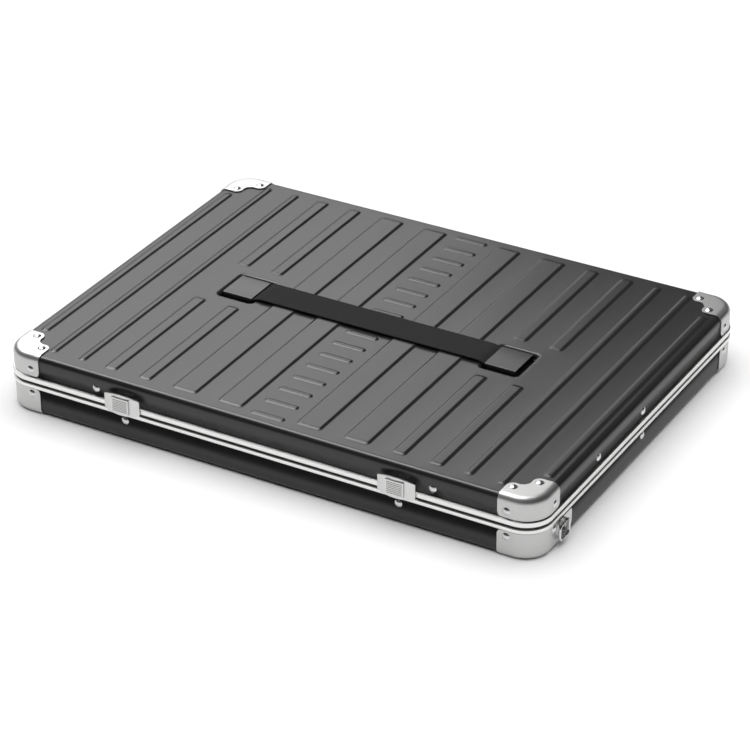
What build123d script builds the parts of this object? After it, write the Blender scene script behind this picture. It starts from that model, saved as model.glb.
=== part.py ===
from build123d import *
import math
import os

# Laptop hard case: two pressed aluminium trays in extruded frames, with steel corner caps.
# X runs along the hinge, Y from the latches (front) to the hinge (back), Z up.
# The origin is on the resting plane under the middle of the case.

os.makedirs("parts", exist_ok=True)

# ---------------------------------------------------------------------------
# Driving dimensions, in millimetres
# ---------------------------------------------------------------------------

# Case
frame_length = 400.0
frame_width = 300.0
plan_radius = 19.0
sheet = 1.0
edge_radius = 4.0
fit_gap = 0.05
soft_gap = 0.2

# Frame extrusions, one closing the base and one the lid
band_proud = 1.6
base_wall_height = 19.2
base_band_height = 3.1
seam_gap = 1.6
lid_band_height = 3.9
lid_wall_height = 15.4
web_thickness = 1.25
flange_thickness = 1.4
base_flange_depth = 9.9
lid_flange_depth = 11.3
band_edge_radius = 0.55
seal_outer_inset = 0.9
seal_inner_inset = 3.4

# Ribs and ladder rungs pressed out of both panels
rib_height = 0.8
rib_flank = 42.0
rib_corner = 2.6
edge_rib_margin = 11.7
edge_rib_width = 6.0
edge_rib_end_margin = 33.0
narrow_rib_places = (0.8864, 0.7658)  # shares of the way from the middle to the edge ribs
narrow_rib_width = 5.2
split_rib_places = (0.6437, 0.5029)
split_rib_width = 9.2
split_rib_inner_end = 26.5
wide_rib_places = (0.3404, 0.1551)
wide_rib_width = 18.3
rib_end_margin = 12.0
rung_count = 17
ladder_end_margin = 13.2
rung_length = 24.4
rung_width = 4.4
rung_shift = -1.2

# Corner caps: two lobes round two rivets, with a scallop between them
cap_thickness = 0.8
cap_near = 12.4
cap_far = 24.5
cap_lobe_radius = 4.9
cap_scallop_centre = 23.0
cap_wall_rivet = 23.0
cap_foot_radius = 3.0
cap_seam = 0.15

# Rivets
rivet_head_radius = 2.75
rivet_head_height = 1.1
rivet_shank_radius = 1.5
rivet_tail_radius = 2.3
rivet_tail_height = 0.6
small_head_radius = 1.7
small_head_height = 0.55
small_shank_radius = 1.0
base_rivet_drop = 4.5
lid_rivet_rise = 5.2
front_rivet_margin = 74.7
side_rivet_margin = 85.0

# Latches: a bowed lever on a pin, hooked under a keeper
latch_margin = {"left": 96.5, "right": 99.0}
lever_width = 27.0
lever_sheet = 0.9
lever_crown = 3.2
lever_bow = 2.0
lever_top_rise = 8.2
lever_top_arch = 2.3
lever_bottom_arch = 1.3
lever_hook = 0.8
lever_hook_half_width = 6.0
hook_clearance = 0.2
pad_width = 13.0
pad_height = 10.5
pad_proud = 0.8
pad_margin = 1.0
groove_count = 7
groove_pitch = 1.3
groove_width = 0.55
groove_depth = 0.35
latch_pin_radius = 0.7
latch_pin_half_length = 6.2
latch_pin_rise = 4.6
latch_pin_reach = 2.3
lever_ear_x = 5.0
bracket_ear_x = 3.2
ear_thickness = 1.2
lever_ear_radius = 1.35
bracket_ear_radius = 1.25
running_gap = 0.05
bracket_sheet = 0.8
bracket_half_width = 10.5
bracket_base_gap = 0.6
bracket_height = 5.2
bracket_rivet_x = 8.3
bracket_rivet_rise = 2.6
spring_sheet = 0.3
spring_half_width = 2.1
spring_tip_drop = 1.4
keeper_sheet = 1.0
keeper_half_width = 5.0
keeper_reach = 2.0
keeper_leg = 11.5

# Hinges: two stop hinges on the back, knuckle barrel just outside the bands
hinge_margin = 96.5
hinge_width = 45.0
hinge_leaf_corner = 3.0
hinge_knuckles = 5
hinge_side_gap = 0.15
hinge_sheet = 1.2
hinge_barrel_radius = 1.9
hinge_barrel_clearance = 0.2
hinge_pin_radius = 1.0
hinge_leaf_length = 16.0
hinge_rivet_x = 14.0
hinge_joggle = 1.2
stop_lug_reach = 3.0
stop_lug_height = 0.25
stop_lug_depth = 1.3

# Carry handle: flat webbing held in two pressed pockets
pocket_inner_x = 85.5
pocket_outer_x = 117.0
pocket_half_width = 18.4
pocket_radius = 5.0
pocket_depth = 4.5
pocket_draft = 14.0
plate_centre_x = 101.0
plate_length = 23.0
plate_half_width = 13.4
plate_rise = 1.4
plate_sheet = 0.8
plate_bend_radius = 1.0
strap_half_width = 12.3
strap_thickness = 1.3
strap_end_x = 108.5
strap_ramp_top = 84.5
strap_ramp_foot = 97.0
stud_y = 7.0
stud_shoulder_radius = 3.5
stud_radius = 2.0
stud_tail_radius = 3.2
stud_tail_height = 0.8
backing_sheet = 1.2
backing_length = 26.0
backing_half_width = 14.0

# Side rings, hung in folded brackets near the front corners of the base
ring_wire_radius = 0.9
ring_stand_off = 1.6
ring_height = 16.3
ring_drop = 11.0
ring_margin = 25.9
ring_span = 12.7
ring_corner_radius = 3.2
ring_plate_sheet = 0.8
ring_plate_span = 21.1
ring_plate_corner = 2.0
ring_ear_places = (9.1, 4.2)
ring_ear_sheet = 0.8
ring_ear_reach = 1.8
ring_ear_corner = 1.5
ring_plate_foot = 6.8
ring_ear_foot = 7.8
ring_arm_height = 5.0
ring_rivet_place = 16.6
ring_rivet_height = 10.4

# Linings
liner_inset = 6.4
base_liner_border = 8.0
base_liner_floor = 3.6
base_liner_rise = 1.0
base_liner_top_gap = 0.8
lid_liner_thickness = 8.0
lid_liner_gap = 1.0
liner_pocket_margin = 3.0
laptop_strap_half_width = 15.0
laptop_strap_thickness = 1.2

# ---------------------------------------------------------------------------
# Worked-out levels and faces
# ---------------------------------------------------------------------------

base_panel_z = max(rib_height, cap_thickness)
base_band_low = base_panel_z + base_wall_height
base_band_top = base_band_low + base_band_height
lid_band_low = base_band_top + seam_gap
lid_band_top = lid_band_low + lid_band_height
lid_panel_z = lid_band_top + lid_wall_height
seam_z = (base_band_top + lid_band_low) / 2

wall_inset = band_proud
wall_x = frame_length / 2 - wall_inset
wall_y = frame_width / 2 - wall_inset
band_y = frame_width / 2
flange_outer_inset = wall_inset + sheet + fit_gap
flange_inner_inset = flange_outer_inset + flange_thickness
base_rim_z = base_band_top - web_thickness - fit_gap
lid_rim_z = lid_band_low + web_thickness + fit_gap
edge_rib_x = frame_length / 2 - edge_rib_margin
edge_rib_half_length = frame_width / 2 - edge_rib_end_margin
rib_half_length = frame_width / 2 - rib_end_margin
rung_pitch = (frame_width - 2 * ladder_end_margin) / (rung_count - 1)
base_rivet_z = base_band_low - base_rivet_drop
lid_rivet_z = lid_band_top + lid_rivet_rise
wall_grip = sheet + fit_gap + flange_thickness
front_rivet_x = frame_length / 2 - front_rivet_margin
side_rivet_y = (side_rivet_margin - frame_width / 2, 0.0)
latch_x = {
    "left": latch_margin["left"] - frame_length / 2,
    "right": frame_length / 2 - latch_margin["right"],
}
hinge_x = frame_length / 2 - hinge_margin


# ---------------------------------------------------------------------------
# Shared operations
# ---------------------------------------------------------------------------


def case_outline(inset, mode=Mode.ADD):
    """Rounded plan of the case, drawn in from the frame's outer face by inset."""
    RectangleRounded(
        frame_length - 2 * inset, frame_width - 2 * inset, plan_radius - inset, mode=mode
    )


def hoop(outer_inset, inner_inset, low, high):
    """Closed hoop of the case's plan between two insets and two heights."""
    with BuildSketch(Plane.XY.offset(low)) as ring:
        case_outline(outer_inset)
        case_outline(inner_inset, Mode.SUBTRACT)
    extrude(ring.sketch, amount=high - low)


def rounded_block(inset, panel_z, rim_z, radius):
    """Solid of the case's plan from its panel to its rim, with the panel's edge rounded."""
    with BuildPart() as block:
        with BuildSketch(Plane.XY.offset(panel_z)):
            case_outline(inset)
        extrude(amount=rim_z - panel_z)
        panel_face = block.faces().sort_by_distance((0, 0, panel_z))[0]
        fillet(panel_face.edges(), radius)
    return block.part


def round_band(frame, *levels):
    """Round the band's outer edges at the given heights."""

    def off_plan(point):
        over_x = abs(point.X) - frame_length / 2 + plan_radius
        over_y = abs(point.Y) - frame_width / 2 + plan_radius
        outside = math.hypot(max(over_x, 0), max(over_y, 0))
        return outside + min(max(over_x, over_y), 0) - plan_radius

    edges = [
        edge
        for edge in frame.edges()
        if any(abs(edge.position_at(0.5).Z - level) < fit_gap for level in levels)
        and abs(off_plan(edge.position_at(0.5))) < fit_gap
    ]
    fillet(edges, band_edge_radius)


def press_tray(panel_z, rim_z):
    """Pressed sheet tray: outer block less the inner one, both with rounded panel edges."""
    inward = math.copysign(sheet, rim_z - panel_z)
    add(rounded_block(wall_inset, panel_z, rim_z, edge_radius))
    inner = rounded_block(
        wall_inset + sheet, panel_z + inward, rim_z + inward, edge_radius - sheet
    )
    add(inner, mode=Mode.SUBTRACT)


def rib(x, width, end_a, end_b):
    """Rib outline along Y between two ends, its corners rounded."""
    with Locations((x, (end_a + end_b) / 2)):
        if width > 2 * rib_corner + fit_gap:
            RectangleRounded(width, abs(end_b - end_a), rib_corner)
        else:
            SlotOverall(abs(end_b - end_a), width, rotation=90)


def press_ribs(panel_z, outward, split, ladder_y):
    """Ribs and ladder pressed out of a panel; the split ribs leave the handle clear."""
    face = Plane(origin=(0, 0, panel_z), x_dir=(1, 0, 0), z_dir=(0, 0, outward))
    with BuildSketch(face) as ribs:
        for side in (-1, 1):
            rib(side * edge_rib_x, edge_rib_width, -edge_rib_half_length, edge_rib_half_length)
            whole = [(place, narrow_rib_width) for place in narrow_rib_places]
            whole += [(place, wide_rib_width) for place in wide_rib_places]
            if not split:
                whole += [(place, split_rib_width) for place in split_rib_places]
            for place, width in whole:
                rib(side * place * edge_rib_x, width, -rib_half_length, rib_half_length)
            if split:
                for place in split_rib_places:
                    x = side * place * edge_rib_x
                    rib(x, split_rib_width, split_rib_inner_end, rib_half_length)
                    rib(x, split_rib_width, -rib_half_length, -split_rib_inner_end)
        with Locations((0, ladder_y)):
            with GridLocations(0, rung_pitch, 1, rung_count):
                SlotOverall(rung_length, rung_width)
    extrude(ribs.sketch, amount=rib_height, taper=rib_flank)


def wall_place(side, along, z, proud=0.0):
    """Plane on a wall's outer face, its normal pointing out of the case."""
    places = {
        "front": ((along, -wall_y - proud, z), (0, -1, 0)),
        "back": ((along, wall_y + proud, z), (0, 1, 0)),
        "left": ((-wall_x - proud, along, z), (-1, 0, 0)),
        "right": ((wall_x + proud, along, z), (1, 0, 0)),
    }
    origin, normal = places[side]
    return Plane(origin=origin, z_dir=normal)


def drill(places, depth, radius=rivet_shank_radius + fit_gap):
    """Round holes at each place, reaching depth to both sides of it."""
    with Locations(*places):
        Cylinder(radius, 2 * depth, mode=Mode.SUBTRACT)


def rivet(grip, head=rivet_head_radius, height=rivet_head_height, shank=rivet_shank_radius):
    """Domed rivet seated at z = 0, closed by a flat tail under its grip."""
    tail = shank * rivet_tail_radius / rivet_shank_radius
    dome = (head**2 + height**2) / (2 * height)
    with BuildPart() as one:
        with BuildSketch(Plane.XZ):
            with BuildLine():
                middle = dome * math.sin(math.asin(head / dome) / 2)
                over = height - dome + math.sqrt(dome**2 - middle**2)
                ThreePointArc((0, height), (middle, over), (head, 0))
                Polyline(
                    (head, 0),
                    (shank, 0),
                    (shank, -grip),
                    (tail, -grip),
                    (tail, -grip - rivet_tail_height),
                    (0, -grip - rivet_tail_height),
                    (0, height),
                )
            make_face()
        revolve(axis=Axis.Z)
    return one.part


def write(piece, label):
    """Label a finished piece and write its STEP file."""
    piece.part.label = label
    export_step(piece.part, f"parts/{label}.step")


# ---------------------------------------------------------------------------
# Where the rivets go
# ---------------------------------------------------------------------------

cap_grip = cap_thickness + wall_grip
corners = [(x, y) for x in (-1, 1) for y in (-1, 1)]


def cap_wall_places(z):
    """The two rivets in the walls of each corner cap."""
    places = []
    for across in (-1, 1):
        front_x = across * (frame_length / 2 - cap_wall_rivet)
        side_y = across * (frame_width / 2 - cap_wall_rivet)
        places += [wall_place(side, front_x, z, cap_thickness) for side in ("front", "back")]
        places += [wall_place(side, side_y, z, cap_thickness) for side in ("left", "right")]
    return places


def cap_panel_places(z, outward):
    """The two rivets in the panel lobes of each corner cap."""
    places = []
    for side_x, side_y in corners:
        for from_x, from_y in ((cap_near, cap_far), (cap_far, cap_near)):
            x = side_x * (frame_length / 2 - from_x)
            y = side_y * (frame_width / 2 - from_y)
            places.append(Plane(origin=(x, y, z), z_dir=(0, 0, outward)))
    return places


lid_cap_wall = cap_wall_places(lid_rivet_z)
lid_cap_panel = cap_panel_places(lid_panel_z + cap_thickness, 1)
base_cap_wall = cap_wall_places(base_rivet_z)
base_cap_panel = cap_panel_places(base_panel_z - cap_thickness, -1)

lid_wall_places = [wall_place("front", side * front_rivet_x, lid_rivet_z) for side in (-1, 1)]
for side in ("left", "right"):
    lid_wall_places += [wall_place(side, y, lid_rivet_z) for y in side_rivet_y]
base_wall_places = [wall_place(side, 0, base_rivet_z) for side in ("left", "right")]
keeper_places = [wall_place("front", x, base_rivet_z) for x in latch_x.values()]

hinge_rivet_along = [
    side * hinge_x + offset for side in (-1, 1) for offset in (-hinge_rivet_x, hinge_rivet_x)
]
hinge_seat = fit_gap + hinge_sheet
hinge_lid_places = [wall_place("back", x, lid_rivet_z, hinge_seat) for x in hinge_rivet_along]
hinge_base_places = [wall_place("back", x, base_rivet_z, hinge_seat) for x in hinge_rivet_along]

bracket_rivet_z = lid_band_top + bracket_rivet_rise
bracket_places = [
    wall_place("front", x + offset, bracket_rivet_z, bracket_sheet)
    for x in latch_x.values()
    for offset in (-bracket_rivet_x, bracket_rivet_x)
]
spring_places = [
    wall_place("front", x, bracket_rivet_z, bracket_sheet + spring_sheet)
    for x in latch_x.values()
]
ring_near_y = ring_margin - frame_width / 2
ring_rivet_y = ring_near_y + ring_rivet_place
ring_places = [
    wall_place(side, ring_rivet_y, ring_rivet_height, ring_plate_sheet)
    for side in ("left", "right")
]

drill_depth = cap_grip + hinge_sheet
panel_drill = cap_thickness + 2 * sheet
small_bore = small_shank_radius + fit_gap


# ---------------------------------------------------------------------------
# Base tray and frame
# ---------------------------------------------------------------------------

with BuildPart() as base_shell:
    press_tray(base_panel_z, base_rim_z)
    press_ribs(base_panel_z, -1, split=False, ladder_y=0)
    drill(base_cap_wall + base_wall_places + keeper_places + hinge_base_places, drill_depth)
    drill(base_cap_panel, panel_drill)
    drill(ring_places, drill_depth, small_bore)
write(base_shell, "base_shell")

with BuildPart() as base_frame:
    hoop(0, wall_inset - fit_gap, base_band_low, base_band_top)
    hoop(0, flange_inner_inset, base_band_top - web_thickness, base_band_top)
    hoop(flange_outer_inset, flange_inner_inset, base_band_top - base_flange_depth, base_band_top)
    round_band(base_frame, base_band_low, base_band_top)
    drill(base_cap_wall + base_wall_places + keeper_places + hinge_base_places, drill_depth)
write(base_frame, "base_frame")

with BuildPart() as frame_seal:
    hoop(seal_outer_inset, seal_inner_inset, base_band_top, lid_band_low - soft_gap)
    keeper_slots = [(x, -band_y, seam_z) for x in latch_x.values()]
    with Locations(*keeper_slots):
        Box(2 * keeper_half_width + 2 * soft_gap, 4 * flange_inner_inset, 2 * seam_gap,
            mode=Mode.SUBTRACT)
write(frame_seal, "frame_seal")


# ---------------------------------------------------------------------------
# Lid tray and frame
# ---------------------------------------------------------------------------

pocket_length = pocket_outer_x - pocket_inner_x
pocket_centre_x = (pocket_outer_x + pocket_inner_x) / 2
pocket_floor_z = lid_panel_z - pocket_depth


def pocket(grow, top_z, depth, mode):
    """Drafted handle pockets, larger all round by grow, sunk from top_z by depth."""
    with BuildSketch(Plane.XY.offset(top_z)) as mouths:
        with Locations((-pocket_centre_x, 0), (pocket_centre_x, 0)):
            RectangleRounded(
                pocket_length + 2 * grow, 2 * (pocket_half_width + grow), pocket_radius + grow
            )
    extrude(mouths.sketch, amount=-depth, taper=pocket_draft, mode=mode)


with BuildPart() as lid_shell:
    press_tray(lid_panel_z, lid_rim_z)
    press_ribs(lid_panel_z, 1, split=True, ladder_y=rung_shift)
    pocket(sheet, lid_panel_z, pocket_depth + sheet, Mode.ADD)
    pocket(0, lid_panel_z, pocket_depth, Mode.SUBTRACT)
    drill(lid_cap_wall + lid_wall_places + hinge_lid_places, drill_depth)
    drill(lid_cap_panel, panel_drill)
    drill(bracket_places + spring_places, drill_depth, small_bore)
    stud_spots = [
        (side * plate_centre_x, across * stud_y, pocket_floor_z)
        for side in (-1, 1)
        for across in (-1, 1)
    ]
    with Locations(*stud_spots):
        Cylinder(stud_radius + fit_gap, 4 * sheet, mode=Mode.SUBTRACT)
write(lid_shell, "lid_shell")

with BuildPart() as lid_frame:
    hoop(0, wall_inset - fit_gap, lid_band_low, lid_band_top)
    hoop(0, flange_inner_inset, lid_band_low, lid_band_low + web_thickness)
    hoop(flange_outer_inset, flange_inner_inset, lid_band_low, lid_band_low + lid_flange_depth)
    round_band(lid_frame, lid_band_low, lid_band_top)
    drill(lid_cap_wall + lid_wall_places + hinge_lid_places, drill_depth)
    drill(bracket_places + spring_places, drill_depth, small_bore)
write(lid_frame, "lid_frame")


# ---------------------------------------------------------------------------
# Corner caps
# ---------------------------------------------------------------------------


def cap_outline():
    """Two round lobes joined by a scallop, measured from the corner of the frame."""
    reach = cap_far + cap_lobe_radius
    scallop = (cap_scallop_centre, cap_scallop_centre)
    lean = math.degrees(
        math.atan2(cap_far - cap_scallop_centre, cap_scallop_centre - cap_near)
    )
    span = math.hypot(cap_far - cap_scallop_centre, cap_scallop_centre - cap_near)
    with BuildLine() as outline:
        Line((0, 0), (0, reach))
        Line((0, reach), (cap_near, reach))
        CenterArc((cap_near, cap_far), cap_lobe_radius, 90, -90 - lean)
        CenterArc(scallop, span - cap_lobe_radius, 180 - lean, 90 + 2 * lean)
        CenterArc((cap_far, cap_near), cap_lobe_radius, 90 + lean, -90 - lean)
        Line((reach, cap_near), (reach, 0))
        Line((reach, 0), (0, 0))
    make_face(outline.edges())


def corner_cap(panel_z, band_z, panel_places, wall_places):
    """Steel cap over the back right corner of a tray, from its panel to its band."""
    outward = math.copysign(cap_thickness, panel_z - band_z)
    foot_z = band_z + math.copysign(cap_seam, panel_z - band_z)
    corner = Plane(
        origin=(frame_length / 2, frame_width / 2, -cap_thickness),
        x_dir=(-1, 0, 0),
        z_dir=(0, 0, 1),
    )
    with BuildPart() as cap:
        add(
            rounded_block(
                wall_inset - cap_thickness, panel_z + outward, foot_z, edge_radius + cap_thickness
            )
        )
        core = rounded_block(wall_inset, panel_z, foot_z - outward, edge_radius)
        add(core, mode=Mode.SUBTRACT)
        with BuildSketch(corner):
            cap_outline()
        extrude(amount=lid_panel_z + 4 * cap_thickness, mode=Mode.INTERSECT)
        lower = cap.edges().sort_by_distance((frame_length / 2, frame_width / 2, foot_z))
        short = lower.filter_by(lambda edge: edge.length < 1.5 * cap_thickness)
        ends = short.filter_by(lambda edge: abs(edge.center().Z - foot_z) < fit_gap)
        fillet(ends, cap_foot_radius)
        drill(wall_places, drill_depth)
        drill(panel_places, panel_drill)
    return cap


def write_caps(cap, prefix):
    """The same cap at all four corners, by mirroring."""
    for depth_name, flip_y in (("front", True), ("back", False)):
        for side_name, flip_x in (("left", True), ("right", False)):
            with BuildPart() as placed:
                copy = cap.part
                if flip_x:
                    copy = copy.mirror(Plane.YZ)
                if flip_y:
                    copy = copy.mirror(Plane.XZ)
                add(copy)
            write(placed, f"{prefix}_cap_{depth_name}_{side_name}")


lid_cap = corner_cap(lid_panel_z, lid_band_top, lid_cap_panel, lid_cap_wall)
write_caps(lid_cap, "lid")
base_cap = corner_cap(base_panel_z, base_band_low, base_cap_panel, base_cap_wall)
write_caps(base_cap, "base")


# ---------------------------------------------------------------------------
# Rivets of the caps, walls and keepers
# ---------------------------------------------------------------------------

cap_wall_rivet_part = rivet(cap_grip)
cap_panel_rivet_part = rivet(cap_thickness + sheet)
wall_rivet_part = rivet(wall_grip)
keeper_rivet_part = rivet(wall_grip + keeper_sheet)

with BuildPart() as lid_cap_rivets:
    with Locations(*lid_cap_wall):
        add(cap_wall_rivet_part)
    with Locations(*lid_cap_panel):
        add(cap_panel_rivet_part)
write(lid_cap_rivets, "lid_cap_rivets")

with BuildPart() as base_cap_rivets:
    with Locations(*base_cap_wall):
        add(cap_wall_rivet_part)
write(base_cap_rivets, "base_cap_rivets")

# Flush rivets under the base, so that it rests on its caps and ribs
with BuildPart() as base_corner_pins:
    with Locations(*base_cap_panel):
        Cylinder(
            rivet_shank_radius,
            cap_thickness + sheet,
            align=(Align.CENTER, Align.CENTER, Align.MAX),
        )
        with Locations((0, 0, -cap_thickness - sheet)):
            Cylinder(
                rivet_tail_radius,
                rivet_tail_height,
                align=(Align.CENTER, Align.CENTER, Align.MAX),
            )
write(base_corner_pins, "base_corner_rivets")

with BuildPart() as lid_wall_rivets:
    with Locations(*lid_wall_places):
        add(wall_rivet_part)
write(lid_wall_rivets, "lid_wall_rivets")

with BuildPart() as base_wall_rivets:
    with Locations(*base_wall_places):
        add(wall_rivet_part)
    with Locations(*keeper_places):
        add(keeper_rivet_part)
write(base_wall_rivets, "base_wall_rivets")


# ---------------------------------------------------------------------------
# Latches
# ---------------------------------------------------------------------------

pin_y = -wall_y - latch_pin_reach
pin_z = lid_band_top + latch_pin_rise
crown_y = -band_y - lever_crown
edge_y = crown_y + lever_bow
lever_top_z = lid_band_top + lever_top_rise
hook_top_z = base_band_top - hook_clearance
lever_bottom_z = hook_top_z - lever_hook
lever_height = lever_top_z - lever_bottom_z
pad_z = (lever_top_z + lever_bottom_z) / 2
lever_deep = Plane.XZ.offset(band_y - 4 * lever_crown)


def bow_outline(drawn_in):
    """Plan of the lever's face: a shallow arc, drawn in by the sheet on its inner side."""
    ThreePointArc(
        (-lever_width / 2, edge_y + drawn_in),
        (0, crown_y + drawn_in),
        (lever_width / 2, edge_y + drawn_in),
    )


def ear(x, centre_y, centre_z, radius, root_y, bore):
    """Ear normal to X round a pin, joined to root_y, with an optional bore."""
    with BuildSketch(Plane.YZ.offset(x - ear_thickness / 2)) as profile:
        with Locations((centre_y, centre_z)):
            Circle(radius)
        with Locations(((centre_y + root_y) / 2, centre_z)):
            Rectangle(abs(root_y - centre_y), 2 * radius)
        with Locations((centre_y, centre_z)):
            Circle(bore, mode=Mode.SUBTRACT)
    extrude(profile.sketch, amount=ear_thickness)


with BuildPart() as lever_blank:
    with BuildSketch(Plane.XY.offset(lever_bottom_z)):
        with BuildLine():
            bow_outline(0)
            bow_outline(lever_sheet)
            for end in (-1, 1):
                x = end * lever_width / 2
                Line((x, edge_y), (x, edge_y + lever_sheet))
        make_face()
    extrude(amount=lever_height)
    with BuildSketch(Plane.XY.offset(lever_bottom_z)):
        with BuildLine():
            bow_outline(lever_sheet / 2)
            back_y = edge_y + lever_sheet / 2
            Line((-lever_width / 2, back_y), (lever_width / 2, back_y))
        make_face()
        with Locations((0, crown_y)):
            Rectangle(2 * lever_hook_half_width, 4 * lever_crown, mode=Mode.INTERSECT)
    extrude(amount=lever_hook)
    with Locations((0, crown_y + lever_sheet / 2, pad_z)):
        Box(
            pad_width,
            lever_sheet / 2 + pad_proud,
            pad_height,
            align=(Align.CENTER, Align.MAX, Align.CENTER),
        )
    with BuildSketch(lever_deep):
        half = lever_width / 2
        side_top = lever_top_z - lever_top_arch
        side_low = lever_bottom_z + lever_bottom_arch
        with BuildLine():
            ThreePointArc((-half, side_top), (0, lever_top_z), (half, side_top))
            ThreePointArc((-half, side_low), (0, lever_bottom_z), (half, side_low))
            for end in (-half, half):
                Line((end, side_low), (end, side_top))
        make_face()
    extrude(amount=8 * lever_crown, mode=Mode.INTERSECT)
    with Locations(Plane(origin=(0, crown_y - pad_proud, pad_z), x_dir=(1, 0, 0), z_dir=(0, -1, 0))):
        with GridLocations(0, groove_pitch, 1, groove_count):
            Box(pad_width - 2 * pad_margin, groove_width, 2 * groove_depth, mode=Mode.SUBTRACT)
    for side in (-1, 1):
        ear(
            side * lever_ear_x,
            pin_y,
            pin_z,
            lever_ear_radius,
            crown_y + lever_sheet + lever_bow / 8,
            latch_pin_radius + running_gap,
        )

with BuildPart() as bracket_blank:
    with Locations((0, -wall_y, lid_band_top + bracket_base_gap)):
        Box(
            2 * bracket_half_width,
            bracket_sheet,
            bracket_height,
            align=(Align.CENTER, Align.MAX, Align.MIN),
        )
    for side in (-1, 1):
        ear(
            side * bracket_ear_x,
            pin_y,
            pin_z,
            bracket_ear_radius,
            -wall_y - bracket_sheet / 2,
            latch_pin_radius,
        )
    rivet_spots = [(x, -wall_y, bracket_rivet_z) for x in (-bracket_rivet_x, 0, bracket_rivet_x)]
    with Locations(*rivet_spots):
        Cylinder(small_bore, 4 * bracket_sheet, rotation=(90, 0, 0), mode=Mode.SUBTRACT)

with BuildPart() as latch_pin_blank:
    with BuildSketch(Plane.YZ):
        with Locations((pin_y, pin_z)):
            Circle(latch_pin_radius)
    extrude(amount=latch_pin_half_length, both=True)

spring_seat_y = -wall_y - bracket_sheet
spring_tip_y = crown_y + lever_sheet + soft_gap + spring_sheet
spring_top_z = bracket_rivet_z + small_head_radius
spring_bend_z = bracket_rivet_z - small_head_radius - fit_gap

with BuildPart() as spring_blank:
    with BuildSketch(Plane.YZ):
        with BuildLine():
            Polyline(
                (spring_seat_y, spring_top_z),
                (spring_seat_y, spring_bend_z),
                (spring_tip_y, lid_band_top - spring_tip_drop),
                (spring_tip_y - spring_sheet, lid_band_top - spring_tip_drop),
                (spring_seat_y - spring_sheet, spring_bend_z),
                (spring_seat_y - spring_sheet, spring_top_z),
                close=True,
            )
        make_face()
    extrude(amount=spring_half_width, both=True)
    with Locations((0, spring_seat_y, bracket_rivet_z)):
        Cylinder(small_bore, 4 * spring_sheet, rotation=(90, 0, 0), mode=Mode.SUBTRACT)

with BuildPart() as keeper_blank:
    leg_inset = flange_inner_inset
    with BuildSketch(Plane.YZ):
        with BuildLine():
            Polyline(
                (-band_y - keeper_reach, base_band_top),
                (-band_y - keeper_reach, base_band_top + keeper_sheet),
                (-band_y + leg_inset + keeper_sheet, base_band_top + keeper_sheet),
                (-band_y + leg_inset + keeper_sheet, base_band_top - keeper_leg),
                (-band_y + leg_inset, base_band_top - keeper_leg),
                (-band_y + leg_inset, base_band_top),
                close=True,
            )
        make_face()
    extrude(amount=keeper_half_width, both=True)
    with Locations((0, -band_y + leg_inset, base_rivet_z)):
        Cylinder(
            rivet_shank_radius + fit_gap, 4 * keeper_sheet, rotation=(90, 0, 0), mode=Mode.SUBTRACT
        )

latch_pieces = {
    "latch_lever": lever_blank,
    "latch_bracket": bracket_blank,
    "latch_pin": latch_pin_blank,
    "latch_spring": spring_blank,
    "latch_keeper": keeper_blank,
}
for piece_name, blank in latch_pieces.items():
    for side_name, x in latch_x.items():
        with BuildPart() as placed:
            with Locations((x, 0, 0)):
                add(blank.part)
        write(placed, f"{piece_name}_{side_name}")

bracket_rivet = rivet(bracket_sheet + wall_grip, small_head_radius, small_head_height,
                      small_shank_radius)
spring_rivet = rivet(spring_sheet + bracket_sheet + wall_grip, small_head_radius,
                     small_head_height, small_shank_radius)
with BuildPart() as latch_rivets:
    with Locations(*bracket_places):
        add(bracket_rivet)
    with Locations(*spring_places):
        add(spring_rivet)
write(latch_rivets, "latch_rivets")


# ---------------------------------------------------------------------------
# Hinges
# ---------------------------------------------------------------------------

barrel_y = band_y + hinge_barrel_radius + hinge_barrel_clearance
knuckle_width = hinge_width / hinge_knuckles


def hinge_leaf(x, upward, band_edge_z, own_knuckles):
    """Joggled leaf from the barrel over the band to the wall; upward is 1 or -1."""
    near_z = seam_z + upward * hinge_barrel_radius
    step_z = band_edge_z + upward * cap_seam
    end_z = seam_z + upward * hinge_leaf_length
    band_seat = band_y + fit_gap
    wall_seat = wall_y + fit_gap
    with BuildSketch(Plane.YZ.offset(x - hinge_width / 2)) as leaf:
        with BuildLine():
            Polyline(
                (band_seat, near_z),
                (band_seat + hinge_sheet, near_z),
                (band_seat + hinge_sheet, step_z + upward * hinge_joggle / 4),
                (wall_seat + hinge_sheet, step_z + upward * (hinge_sheet + hinge_joggle / 4)),
                (wall_seat + hinge_sheet, end_z),
                (wall_seat, end_z),
                (wall_seat, step_z),
                (band_seat, step_z),
                close=True,
            )
        make_face()
    sheet_leaf = extrude(leaf.sketch, amount=hinge_width)
    ends = sheet_leaf.edges().filter_by(Axis.Y).group_by(Axis.Z)[-1 if upward > 0 else 0]
    fillet(ends, hinge_leaf_corner)
    for index in own_knuckles:
        start_x = x - hinge_width / 2 + index * knuckle_width + hinge_side_gap
        with BuildSketch(Plane.YZ.offset(start_x)) as knuckle:
            with Locations((band_seat + hinge_sheet / 2, (seam_z + near_z) / 2)):
                Rectangle(hinge_sheet, abs(near_z - seam_z))
            with Locations((barrel_y, seam_z)):
                Circle(hinge_barrel_radius)
                Circle(hinge_pin_radius + running_gap, mode=Mode.SUBTRACT)
        extrude(knuckle.sketch, amount=knuckle_width - 2 * hinge_side_gap)


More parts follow.
